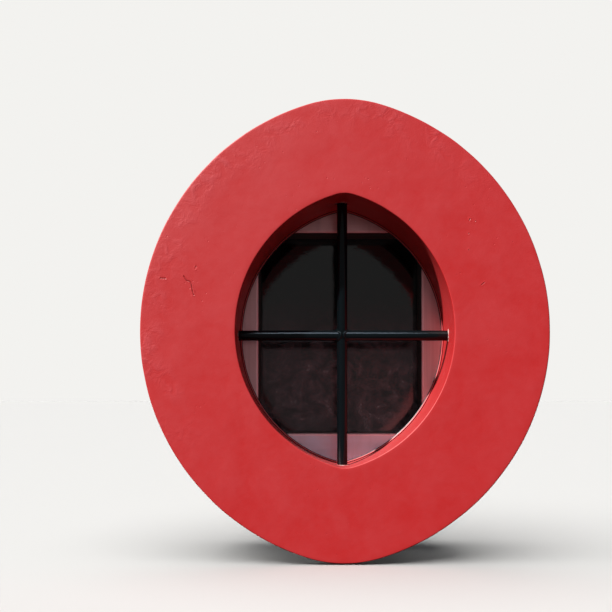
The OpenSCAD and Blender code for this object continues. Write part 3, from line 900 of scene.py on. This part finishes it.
def addStudio():
    look = studio
    under = cadLow.z - 0.0006
    bpy.ops.mesh.primitive_grid_add(x_subdivisions=4, y_subdivisions=4, size=80, location=(0, 0, under))
    floor = bpy.context.object
    floor.name = "floor"
    material, tree, shader, _ = startMaterial("paleFloor")
    fillInputs(tree, shader, {"Base Color": look["floor"], "Roughness": 0.9, "Specular IOR Level": 0.1})
    floor.data.materials.append(material)
    floor.visible_diffuse = floor.visible_glossy = floor.visible_transmission = False

    world = bpy.data.worlds.new("studio")
    scene.world = world
    world.use_nodes = True
    tree = world.node_tree
    tree.nodes.clear()
    way = newNode(tree, "ShaderNodeTexCoord").outputs["Generated"]
    rise = partsOf(tree, way)["Z"]
    plain = newNode(tree, "ShaderNodeBackground", {"Color": (*look["backdrop"], 1)}).outputs[0]
    ray = newNode(tree, "ShaderNodeLightPath").outputs
    ambient, sheen = skyRamp(tree, rise, look["ambient"]), mottledSheen(tree, way, rise)
    soft = mixNode(tree, ray["Is Glossy Ray"], ambient, sheen)
    light = newNode(tree, "ShaderNodeBackground", {"Color": soft}).outputs[0]
    both = newNode(tree, "ShaderNodeMixShader", {0: ray["Is Camera Ray"], 1: light, 2: plain})
    out = tree.nodes.new("ShaderNodeOutputWorld")
    tree.links.new(both.outputs[0], out.inputs["Surface"])
    scene.view_settings.view_transform = "Standard"


def addLights():  # last, when every piece that a light leaves out is there
    for name, (way, strength, angle, colour, inGloss, action, kind) in studio["lights"].items():
        lamp = bpy.data.lights.new(name, "SUN")
        lamp.energy, lamp.angle, lamp.color = strength, math.radians(angle), colour
        light = bpy.data.objects.new(name, lamp)
        light.rotation_mode = "QUATERNION"
        light.rotation_quaternion = Vector(way).to_track_quat("-Z", "Y")
        light.visible_glossy = inGloss
        scene.collection.objects.link(light)
        group = bpy.data.collections.new(name + "Pieces")
        for piece in scene.objects:
            if piece.type == "MESH" and any(word in piece.name for word in studio["pieces"][kind]):
                group.objects.link(piece)
        for entry in group.collection_objects:
            entry.light_linking.link_state = action
        light.light_linking.receiver_collection = group


addStudio()


# trim: a thin painted stop bead round the back edge of the reveal

trim = {  # measured out from the opening and back from the trim's own front
    "around": 480, "web": (7, 10), "bead": (2.5, 5.0), "beadFront": 0.6, "groove": 4.0, "gasket": 1.0, "waves": 0.4,
}


def trimSection(deep):  # (out, depth, share of the near-black gasket and groove paint, which is painted shade)
    look = trim
    webIn, webOut = look["web"]
    beadIn, beadOut = look["bead"]
    middle, half, crown = (beadIn + beadOut) / 2, (beadOut - beadIn) / 2, look["beadFront"]
    groove, gasket = look["groove"], look["gasket"]
    turns = np.radians(np.linspace(0, 180, 9))
    return [
        # the groove floor takes the dark paint too, as painted shade under the bead's lip
        (webIn, 0, 0), (webIn, groove - 0.5, 0.5), (webIn - 0.5, groove, 1),
        (beadOut + 0.3, groove, 1), (beadOut, groove - 0.3, 0.6),
        *[(middle + half * math.cos(t), crown + half * (1 - math.sin(t)) * 0.9, 0) for t in turns],
        (beadIn, deep - 1.5, 0), (beadIn - 0.1, deep - 1.4, 1), (gasket + 0.3, deep - 1.2, 1),
        (gasket, deep - 0.8, 1), (gasket, deep, 1),
        (webIn - 1, deep, 0), (webOut - 0.3, deep, 0), (webOut, deep - 0.3, 0),
        (webOut, 0.3, 0), (webOut - 0.3, 0, 0),
    ]


def addTrim():
    look = trim
    low, high = boxOf("reveal_trim")
    section = trimSection(high[1] - low[1])
    base, way = ovalRing(look["around"], 0)
    points = []
    for out, depth, _ in section:
        across, up = (base + way * out).T
        seen = np.column_stack([across, np.full(len(base), low[1] + depth), up])
        slack = waves(seen, 60, 8) * look["waves"] * smoothStep(look["web"][0], look["bead"][0], out)
        seen[:, 0] += way[:, 0] * slack
        seen[:, 2] += way[:, 1] * slack
        points.append(seen)
    mesh = newMesh("trimHoop", np.vstack(points), gridFaces(len(section), len(base), closeRows=True))
    storeValue(mesh, "gasket", np.repeat([share for *_, share in section], len(base)))
    addPiece("trimHoop", mesh, materials["redTrim"], ["reveal_trim"], 60)


addTrim()


# grille: three round bars under thick gloss paint, welded where they cross

barPaint = {"around": 56, "rowLength": 2.6, "lump": 0.34, "lumpLength": 24, "run": 0.16, "runLength": 7}


def barMesh(name, middle, way, start, end, coped):  # way points along the bar; a coped bar starts at the upright
    look = barPaint
    radius, middle, way = grille["radius"], Vector(middle), Vector(way)
    front = Vector((0, 1, 0))
    over = way.cross(front)
    steps = look["around"]
    turns = [2 * math.pi * i / steps for i in range(steps)]
    rows = max(2, int((end - start) / look["rowLength"]))

    def coping(turn, size):
        return math.sqrt(max(radius**2 - (size * math.cos(turn)) ** 2, 9)) if coped else start

    def place(turn, along, size):
        return tuple(middle + way * along + (front * math.cos(turn) + over * math.sin(turn)) * size)

    points, firsts = [], [coping(turn, radius) for turn in turns]
    base, axis = np.array(middle), np.array(way)
    for row in range(rows + 1):
        ring = [place(turn, first + (end - first) * row / rows, radius) for turn, first in zip(turns, firsts)]
        ring = np.array(ring)
        axisSpot = base + ((ring - base) @ axis)[:, None] * axis
        thin = np.clip(waves(ring, look["lumpLength"], 11), 0, 1) * look["lump"]
        thin += np.clip(waves(ring, look["runLength"], 12), 0, 1) * look["run"]
        points.append(axisSpot + (ring - axisSpot) * (1 - thin / radius)[:, None])
    faces = gridFaces(rows + 1, steps)
    points = [tuple(p) for p in np.vstack(points)]
    last = rows * steps
    faces.append(tuple(range(last, last + steps)))
    previous = 0
    for ringStep in range(1, 6):  # closes the start, following the upright's round where it is coped
        size = radius * (1 - ringStep / 6)
        begin = len(points)
        points += [place(turn, coping(turn, size), size) for turn in turns]
        for i in range(steps):
            j = (i + 1) % steps
            faces.append((previous + i, begin + i, begin + j, previous + j))
        previous = begin
    points.append(place(0, coping(math.pi / 2, 0), 0))
    faces += [(previous + i, previous + (i + 1) % steps, len(points) - 1) for i in range(steps)]
    return newMesh(name, points, faces)


def addBars():
    out = revealOut(grille["depth"]) + grille["barEnd"]
    across, up = opening["width"] / 2 + out, opening["height"] / 2 + out
    mesh = barMesh("barUpright", (grille["upright"], grille["depth"], 0), (0, 0, 1), -up, up, False)
    addPiece("barUpright", mesh, materials["blackGloss"], ["bar_vertical"], 60, "zxy")
    for side, name, node in ((-1, "barLeft", "bar_left"), (1, "barRight", "bar_right")):
        reach = across + side * -grille["upright"]
        mesh = barMesh(name, crossing, (side, 0, 0), grille["radius"], reach, True)
        addPiece(name, mesh, materials["blackGloss"], [node], 60, "xyz")


weld = {"along": 220, "around": 16, "bead": 2.5, "ripple": 0.22, "rippleLength": 2.1, "keepOff": 3.4}


def addWeld():
    radius, long, around, parts = grille["radius"], weld["along"], weld["around"], []
    for side in (-1, 1):
        turns = np.arange(long) * 2 * math.pi / long
        y, z = radius * np.cos(turns), radius * np.sin(turns)
        x = np.maximum(np.sqrt(np.maximum(radius**2 - y**2, 0)), weld["keepOff"])
        path = np.column_stack([side * x, y, z])
        gone = lengthAlong(path)
        points = []
        for i, spot in enumerate(path):
            along = Vector(path[(i + 1) % long] - path[i - 1]).normalized()
            outward = (Vector((0, y[i], z[i])).normalized() + Vector((side * 0.2, 0, 0))).normalized()
            over = along.cross(outward).normalized()
            outward = over.cross(along)
            phase = gone[i] / weld["rippleLength"] % 1
            size = weld["bead"] * (1 + 0.14 * noise.noise(Vector(spot) / 7)) - weld["ripple"] * phase
            for step in range(around):
                t = 2 * math.pi * step / around
                aside = outward * (size * math.cos(t) * 0.9 + 0.25) + over * size * math.sin(t) * 1.15
                points.append(tuple(Vector(spot) + aside + Vector(crossing)))
        parts.append((points, gridFaces(long, around, closeRows=True)))
    addJoined("crossWeld", parts, "blackGloss", "cross_weld", 60, "xyz")


mortar = {"inner": 11.45, "outer": 15.4, "proud": 2.9, "waves": 2.0}


def addMortar():
    look, deep = mortar, grille["socketDepth"]
    profile = [(deep - 0.1, 0), (deep - 0.1, 8), (deep - 0.1, look["outer"] - 0.5), (deep - 0.8, look["outer"])]
    profile += [(along, look["outer"]) for along in (18, 12, 6, 2, 0.4, -0.6)]
    profile += [(-1.3, 15.0), (-1.9, 14.3), (-2.4, 13.5), (-2.75, 12.7), (-look["proud"], 12.0)]
    profile += [(-2.6, 11.6), (-1.5, look["inner"])]
    profile += [(along, look["inner"]) for along in (4, 12, 20, 22)] + [(22.05, 6), (22.05, 0)]

    def wobble(along, radius, turn):
        if along > 2 or radius < 11.5:
            return 0, 0
        spot = Vector((math.cos(turn) * radius, math.sin(turn) * radius, along)) / 5.5
        low = (0.5 + 0.5 * noise.noise(spot + seed)) * look["waves"]
        fine = noise.noise(spot * 4 + seed) * 0.18
        return min(low * 1.5, -along if along < 0 else 0) + fine * 0.5, -low * 0.7 * (radius > 12.5) + fine * 0.5

    parts = []
    for end, (place, way) in enumerate(barEnds()):
        seed = Vector((end * 9.7, 3.1, end * 4.3))
        parts.append(lathed(profile, place, way, 72, wobble))
    addJoined("mortarCollars", parts, "mortar", "bar_grout", 50)


addBars()
addWeld()
addMortar()
print("grille built")


# frame: four painted timber members and the mitred beads behind the pane

timber = {
    "rebate": 15, "chamfer": 3, "arris": 1.3, "stopBack": 245,
    "capBore": 8.1, "capDepth": 8, "shank": 4,
    "peg": 5, "pegStep": 21, "pegLength": 70, "pegOut": 42.5,  # how far the pegs stand outside the light
}
halfLight = np.array(lightSize) / 2


def boxPoints(low, high):
    points = list(product(*zip(low, high)))
    return points, [(0, 1, 3, 2), (4, 6, 7, 5), (0, 4, 5, 1), (2, 3, 7, 6), (0, 2, 6, 4), (1, 5, 7, 3)]


def addMember(name, node, upright):
    look = timber
    low, high = boxOf(node)
    middle = frameMiddle
    reach = halfLight + look["rebate"]
    rebateLow = (middle[0] - reach[0], look["stopBack"], middle[2] - reach[1])
    rebateHigh = (middle[0] + reach[0], high[1] + 5, middle[2] + reach[1])
    cutters = [boxPoints(rebateLow, rebateHigh)]
    capFloor = high[1] - look["capDepth"]
    for x, z in screwPlaces:
        if low[0] < x < high[0] and low[2] < z < high[2]:
            cutters.append(rodPoints((x, capFloor, z), (x, high[1] + 4, z), look["capBore"], 40))
            cutters.append(rodPoints((x, low[1] - 4, z), (x, capFloor + 1, z), look["shank"], 24))
    halfPeg = look["pegLength"] / 2
    for sx, sz, step in product((-1, 1), (-1, 1), (-look["pegStep"], look["pegStep"])):
        x, z = middle[0] + sx * (halfLight[0] + look["pegOut"]), middle[2] + sz * halfLight[1]
        y = (low[1] + look["stopBack"]) / 2 + step
        if low[0] < x < high[0] and (low[2] < z + 10 < high[2] or low[2] < z - 10 < high[2]):
            cutters.append(rodPoints((x, y, z - halfPeg), (x, y, z + halfPeg), look["peg"], 24))
    across = 2 - 2 * upright  # the axis that crosses the member
    c, way = look["chamfer"] * 1.05, 1 if (low + high)[across] > 2 * middle[across] else -1
    edge, front = middle[across] + way * halfLight[1 - upright], low[1]
    corner = [
        (edge - way * c, front - c), (edge + way * c, front - 0.02),
        (edge - way * 0.02, front + c), (edge - way * 2 * c, front + c),
    ]
    span = halfLight[int(upright)]
    points = []
    for end in (-span, span):
        for at, depth in corner:
            points.append((at, depth, middle[2] + end) if upright else (middle[0] + end, depth, at))
    sides = [(0, 1, 5, 4), (1, 2, 6, 5), (2, 3, 7, 6), (3, 0, 4, 7)]
    cutters.append((points, [(0, 1, 2, 3), (4, 5, 6, 7), *sides]))
    body = newMesh(name, *boxPoints(low, high))
    mesh = finishedMesh(body, [newMesh("cutter", *part) for part in cutters], look["arris"], 3)
    addPiece(name, mesh, materials["framePaint"], [node], 40, "zxy" if upright else "xyz")


def beadSection(look):
    depth, tall, curve, small = look["depth"], timber["rebate"], look["round"], look["arris"]
    section = [(small, 0), (0, small), (0, tall - small), (small * 0.3, tall - small * 0.3), (small, tall)]
    for t in np.radians(np.linspace(0, 90, 8)):
        section.append((depth - curve + curve * math.sin(t), tall - curve + curve * math.cos(t)))
    return section + [(depth, small), (depth - small, 0)]


beads = {"depth": 18, "round": 6, "arris": 0.6, "pieces": 48, "mitreGap": 0.15, "waves": 0.25}


def addBeads():
    section = beadSection(beads)
    front = boxOf("bead_top")[0][1]
    half = halfLight + timber["rebate"]
    places = {
        "beadBottom": ("bead_bottom", (1, 0), (0, 1), *half, "xyz"),
        "beadTop": ("bead_top", (-1, 0), (0, -1), *half, "xyz"),
        "beadLeft": ("bead_left", (0, -1), (1, 0), *half[::-1], "zxy"),
        "beadRight": ("bead_right", (0, 1), (-1, 0), *half[::-1], "zxy"),
    }
    for name, (node, along, inward, halfLength, away, grain) in places.items():
        points = []
        for step in range(beads["pieces"] + 1):
            share = 2 * step / beads["pieces"] - 1
            for depth, tall in section:
                run = share * (halfLength - tall - beads["mitreGap"])
                x = frameMiddle[0] + along[0] * run + inward[0] * (tall - away)
                z = frameMiddle[2] + along[1] * run + inward[1] * (tall - away)
                wave = (0.5 + 0.5 * noise.noise(Vector((x, depth * 3, z)) / 50)) * beads["waves"]
                wave *= depth > 2 and tall > 2
                points.append((x - inward[0] * wave, front + depth - wave, z - inward[1] * wave))
        size = len(section)
        faces = gridFaces(beads["pieces"] + 1, size)
        faces += [tuple(range(size)), tuple(range(len(points) - size, len(points)))]
        addPiece(name, newMesh(name, points, faces), materials["framePaint"], [node], 35, grain)


for memberName, memberNode, isUpright in (
    ("frameHead", "frame_head", False), ("frameBottomRail", "frame_bottom_rail", False),
    ("frameJambLeft", "frame_jamb_left", True), ("frameJambRight", "frame_jamb_right", True),
):
    addMember(memberName, memberNode, isUpright)
addBeads()
print("frame built")


# pane, with the slight waves of drawn glass

pane = {"cells": (64, 78), "arris": 0.6, "waves": 0.10, "waveLength": 85}


def addPane():
    look = pane
    across, up = look["cells"]
    small = look["arris"]

    def spread(axis, count):
        low, high = glassLow[axis], glassHigh[axis]
        return np.concatenate([[low + small], np.linspace(low + 5, high - 5, count - 1), [high - small]])

    xs, zs = spread(0, across), spread(2, up)
    sheets = []
    for depth, way in ((glassLow[1], 1), (glassHigh[1], -1)):
        sheet = np.array([(x, depth, z) for z in zs for x in xs])
        sheet[:, 1] += way * look["waves"] * waves(sheet * [1, 1, 0.6], look["waveLength"], 14 + way)
        sheets.append(sheet)
    faces = gridFaces(len(zs), len(xs), closeAround=False)
    size = len(sheets[0])
    faces += [tuple(size + i for i in face[::-1]) for face in faces]
    wide = len(xs)
    rim = list(range(wide)) + [wide * row + wide - 1 for row in range(1, len(zs))]
    rim += [size - 1 - i for i in range(1, wide)] + [wide * row for row in range(len(zs) - 2, 0, -1)]
    start = 2 * size
    edge = []
    for depth, i in product((glassLow[1] + small, glassHigh[1] - small), rim):
        away = sheets[0][i] - frameMiddle
        out = small * np.sign(away) * (np.abs(away) > (glassHigh - glassLow) / 2 - 2)
        edge.append((sheets[0][i][0] + out[0], depth, sheets[0][i][2] + out[2]))
    points = np.vstack([*sheets, edge])
    count = len(rim)
    for i in range(count):
        j = (i + 1) % count
        faces.append((rim[i], rim[j], start + j, start + i))
        faces.append((start + i, start + j, start + count + j, start + count + i))
        faces.append((start + count + i, start + count + j, size + rim[j], size + rim[i]))
    mesh = newMesh("glassPane", points, faces)
    addPiece("glassPane", mesh, materials["darkGlass"], ["glass_pane"], 30)


addPane()


# tapes: soft strips laid in a rectangle, squeezed so that their sides bulge

tapes = {
    "frameSeal": ("frame_seal", "foamTape", "foam_tape", 10, 1.1, 0.35),  # node, finish, slot, width, bulge, waves
    "frontTape": ("front_glazing_tape", "butylTape", "glazing_tape", 9, 0.5, 0.2),
    "backTape": ("back_glazing_tape", "butylTape", "glazing_tape", 9, 0.5, 0.2),
}


def addTape(name, node, finish, slotName, wide, bulge, uneven):
    low, high = boxOf(node)
    halfW, halfH = (high - low)[0] / 2, (high - low)[2] / 2
    middle, thick = (low + high) / 2, (high - low)[1]
    depths = [thick * (0.5 + 0.5 * math.sin(t)) for t in np.radians(np.linspace(-90, 90, 7))]
    outer = [(bulge - bulge * math.sin(depth / thick * math.pi), depth) for depth in depths]
    inner = [(wide - bulge + bulge * math.sin(depth / thick * math.pi), depth) for depth in depths[::-1]]
    section = outer + [(wide * 0.5, thick)] + inner + [(wide * 0.5, 0)]
    perSide = 60
    points = []
    for inset, depth in section:
        w, h = halfW - inset, halfH - inset
        corners = [(-w, -h), (w, -h), (w, h), (-w, h)]
        for a, b in zip(corners, corners[1:] + corners[:1]):
            for i in range(perSide):
                x, z = [a[axis] + (b[axis] - a[axis]) * i / perSide for axis in (0, 1)]
                points.append((middle[0] + x, low[1] + depth, middle[2] + z))
    points = np.array(points)
    depthShare = np.sin(np.clip((points[:, 1] - low[1]) / thick, 0, 1) * math.pi)
    away = points[:, [0, 2]] - middle[[0, 2]]
    pull = waves(points, 14, 21) * uneven * depthShare
    points[:, [0, 2]] -= np.sign(away) * pull[:, None] * (np.abs(away) > np.array([halfW, halfH]) - wide * 0.4)
    faces = gridFaces(len(section), 4 * perSide, closeRows=True)
    addPiece(name, newMesh(name, points, faces), materials[finish], [node], 60)


for tapeName, tapeLook in tapes.items():
    addTape(tapeName, *tapeLook)


# caps over the frame's screws, and the studs that hold the window to its wall

capShape = [  # how far along its axis, and radius
    (1.5, 0), (1.5, 1.4), (1.2, 1.9), (1.35, 2.6), (1.42, 5), (1.3, 7.4), (1.0, 8.9),
    (0.55, 9.7), (0.1, 10), (0, 9.9), (0, 8), (-6.4, 8), (-7, 7.5), (-7, 0),
]
socketShape = [
    (-16, 0), (-16, 8.3), (-15.3, 9), (-0.5, 9), (0, 8.5), (0, 6.7), (-0.6, 6.05), (-13.9, 6.05), (-13.9, 0),
]
stud = {"radius": 5, "root": 6, "rootDepth": 14, "reach": 90, "pitch": 1.5, "thread": 0.62, "steps": 28}


def addCaps():
    back = boxOf("frame_head")[1][1]
    parts = [lathed(capShape, (x, back, z), (0, 1, 0), 48) for x, z in screwPlaces]
    addJoined("screwCaps", parts, "capPlastic", "screw_caps", 35)


def addStuds():
    look = stud
    root, deep, reach = look["root"], look["rootDepth"], look["reach"]
    profile = [(-deep, 0), (-deep, 5.2), (-deep + 0.8, root), (-0.5, root), (-0.05, root - 0.5), (0.6, 4.5)]
    profile += [(along, look["radius"]) for along in np.arange(1.2, reach - 1.4, look["pitch"] / 6)]
    profile += [(reach - 0.9, 4.3), (reach, 3.5), (reach, 0)]

    def thread(along, radius, turn):
        if radius != look["radius"]:
            return 0, 0
        phase = (along / look["pitch"] - turn / (2 * math.pi)) % 1
        return 0, -look["thread"] * min(max(1.5 * abs(2 * phase - 1) - 0.2, 0), 1)

    parts = [lathed(profile, (x, 0, z), (0, 1, 0), look["steps"], thread) for x, z in studPlaces]
    addJoined("anchorStuds", parts, "zincSteel", "anchor_studs", 50)
    parts = [lathed(socketShape, (x, 0, z), (0, 1, 0), 48) for x, z in studPlaces]
    addJoined("studSockets", parts, "zincSteel", "stud_sockets", 35)


addCaps()
addStuds()
print("fixings built")


# parts that keep their own shape and only take a finish

keptParts = {
    "corner_dowels": ("beechPeg", "peg_wood"), "frame_screws": ("zincSteel", "screw_steel"),
    "screw_plugs": ("plugNylon", "plug_nylon"), "bead_pins": ("pinSteel", "pin_steel"),
    "setting_blocks": ("packerPlastic", "packer_plastic"), "edge_blocks": ("packerPlastic", "packer_plastic"),
}
for nodeName, (finishName, slotName) in keptParts.items():
    piece = frame["nodes"][nodeName]
    piece.data.materials.clear()
    piece.data.materials.append(materials[finishName])

addLights()
print("studio lit")
